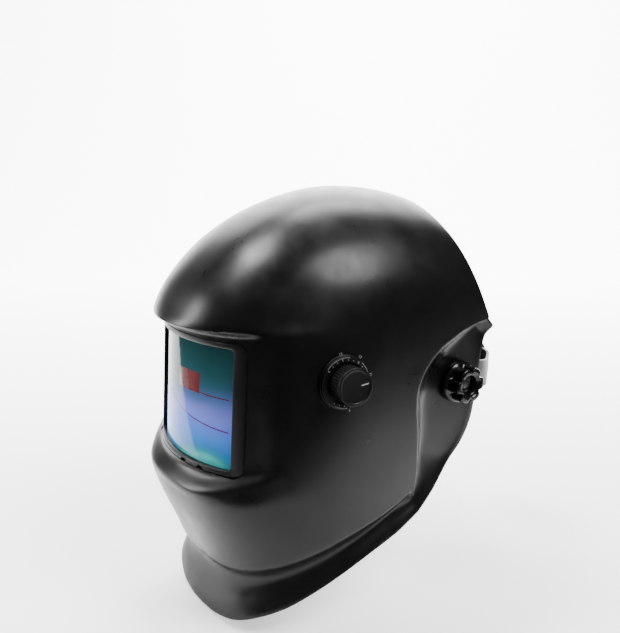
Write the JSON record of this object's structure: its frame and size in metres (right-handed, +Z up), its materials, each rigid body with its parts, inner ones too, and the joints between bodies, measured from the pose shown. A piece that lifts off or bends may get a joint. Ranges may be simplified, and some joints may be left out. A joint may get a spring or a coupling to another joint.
{
  "type": "flip-up welding helmet",
  "caption": "Auto-darkening welding helmet: moulded shell with a curved window, shade dial and side pivots, flipping up on a ratchet head harness.",
  "frame": {"origin": "middle of the axis through the two side pivots, at the wearer's temples", "axes": "+Z up, -Y the way the wearer looks, +X the wearer's left"},
  "size_m": [0.2267, 0.3171, 0.3251],
  "materials": {
    "shell_plastic": "satin moulded",
    "frame_plastic": "fine satin",
    "lens_film": "glossy, blue-green mirror film",
    "filter_glass": "polished",
    "clear_lens": "polished",
    "cartridge_plastic": "fine texture",
    "sensor_window": "polished",
    "solar_cell": "polished",
    "control_plastic": "satin",
    "dial_plastic": "satin, with white marks",
    "knob_plastic": "glossy moulded",
    "washer_rubber": "matte",
    "bush_plastic": "smooth",
    "plated_steel": "plated",
    "harness_plastic": "fine texture",
    "arm_plastic": "smooth",
    "pinion_plastic": "smooth",
    "lead_rubber": "matte",
    "sweat_fabric": "terry weave"
  },
  "bodies": {
    "headgear": {"front_band": "harness_plastic", "sweatband": "sweat_fabric", "side_arm_left": "arm_plastic", "side_arm_right": "arm_plastic", "ratchet_housing": "harness_plastic", "rear_pad": "sweat_fabric", "crown_strap_left": "harness_plastic", "crown_strap_right": "harness_plastic", "strap_rivet_left": "plated_steel", "strap_rivet_right": "plated_steel", "crown_pin": "harness_plastic"},
    "carriage": {"pivot_bolt_left": "plated_steel", "pivot_bolt_right": "plated_steel"},
    "helmet": {"helmet_shell": "shell_plastic", "window_frame": "frame_plastic", "front_cover_lens": "lens_film", "cartridge_holder": "cartridge_plastic", "cartridge_housing": "cartridge_plastic", "filter_glass": "filter_glass", "solar_cell": "solar_cell", "arc_sensor_left": "sensor_window", "arc_sensor_right": "sensor_window", "battery_cover": "cartridge_plastic", "inner_cover_lens": "clear_lens", "dial_ring": "dial_plastic", "potentiometer": "plated_steel", "potentiometer_nut": "plated_steel", "dial_lead": "lead_rubber", "pivot_bush_left": "bush_plastic", "pivot_bush_right": "bush_plastic", "pivot_washer_left": "washer_rubber", "pivot_washer_right": "washer_rubber"},
    "shade_dial": {"shade_knob": "dial_plastic", "shade_shaft": "plated_steel"},
    "sensitivity_control": {"sensitivity_knob": "control_plastic"},
    "delay_control": {"delay_knob": "control_plastic"},
    "test_control": {"test_button": "control_plastic"},
    "clamp_left": {"pivot_knob_left": "knob_plastic", "pivot_nut_left": "plated_steel"},
    "clamp_right": {"pivot_knob_right": "knob_plastic", "pivot_nut_right": "plated_steel"},
    "ratchet": {"ratchet_knob": "knob_plastic", "ratchet_pinion": "pinion_plastic"},
    "rear_left": {"rear_band_left": "harness_plastic"},
    "rear_right": {"rear_band_right": "harness_plastic"}
  },
  "joints": [
    {"name": "reach_slide", "type": "slide", "parent": "headgear", "child": "carriage", "axis": [0, 1, 0], "range_m": [-0.01, 0.01]},
    {"name": "helmet_flip", "type": "hinge", "parent": "carriage", "child": "helmet", "pos_m": [0, 0, 0], "axis": [-1, 0, 0], "range_deg": [0, 101]},
    {"name": "shade_turn", "type": "hinge", "parent": "helmet", "child": "shade_dial", "pos_m": [0.09919, -0.1165, 0.022], "axis": [0.9872, -0.1497, 0.0557], "range_deg": [0, 270]},
    {"name": "sensitivity_turn", "type": "hinge", "parent": "helmet", "child": "sensitivity_control", "pos_m": [-0.034, -0.149, -0.0385], "axis": [0, 1, 0], "range_deg": [0, 270]},
    {"name": "delay_turn", "type": "hinge", "parent": "helmet", "child": "delay_control", "pos_m": [0.034, -0.149, -0.0385], "axis": [0, 1, 0], "range_deg": [0, 270]},
    {"name": "test_press", "type": "slide", "parent": "helmet", "child": "test_control", "axis": [0, -1, 0], "range_m": [0, 0.0012], "stiffness_N_per_m": 500, "springref_m": -0.0006},
    {"name": "clamp_left_turn", "type": "hinge", "parent": "carriage", "child": "clamp_left", "pos_m": [0.0982, 0, 0], "axis": [1, 0, 0], "range_deg": [0, 180]},
    {"name": "clamp_right_turn", "type": "hinge", "parent": "carriage", "child": "clamp_right", "pos_m": [-0.0982, 0, 0], "axis": [-1, 0, 0], "range_deg": [0, 180]},
    {"name": "ratchet_turn", "type": "hinge", "parent": "headgear", "child": "ratchet", "pos_m": [0, 0.0936, -0.0152], "axis": [0, 1, 0], "range_deg": [0, 52]},
    {"name": "rear_left_slide", "type": "slide", "parent": "headgear", "child": "rear_left", "axis": [1, 0, 0], "range_m": [0, 0.006]},
    {"name": "rear_right_slide", "type": "slide", "parent": "headgear", "child": "rear_right", "axis": [-1, 0, 0], "range_m": [0, 0.006]}
  ],
  "couplings": [
    {"joint": "rear_left_slide", "follows": "ratchet_turn", "m_per_rad": 0.0065},
    {"joint": "rear_right_slide", "follows": "ratchet_turn", "m_per_rad": 0.0065}
  ]
}
